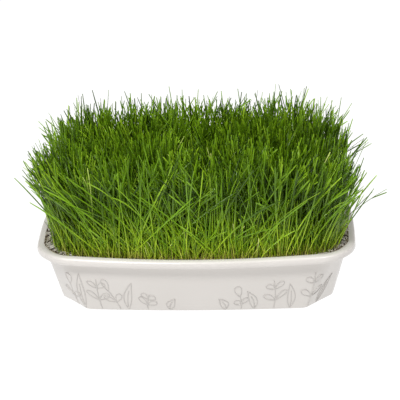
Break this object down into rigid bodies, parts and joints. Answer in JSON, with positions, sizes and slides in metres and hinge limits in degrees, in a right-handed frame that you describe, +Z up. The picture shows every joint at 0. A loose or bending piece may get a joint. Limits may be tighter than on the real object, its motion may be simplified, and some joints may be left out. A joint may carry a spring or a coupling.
{
  "type": "wheatgrass tray",
  "caption": "Shallow white glazed tray with a rolled rim, filled with growing medium and a root mat from which dense wheatgrass stands and fans out over the rim.",
  "frame": {"origin": "middle of the tray's flat underside, on the surface that it stands on", "axes": "+X along the tray's long sides, to the right seen from the front; +Y from the front long side to the back; +Z up"},
  "size_m": [0.343, 0.2018, 0.1626],
  "materials": {
    "tray": "satin",
    "growing_medium": "matte",
    "root_mat": "matte",
    "grass": "satin"
  },
  "bodies": {
    "root": {"tray": "tray", "growing_medium": "growing_medium", "root_mat": "root_mat", "grass": "grass"}
  },
  "joints": []
}
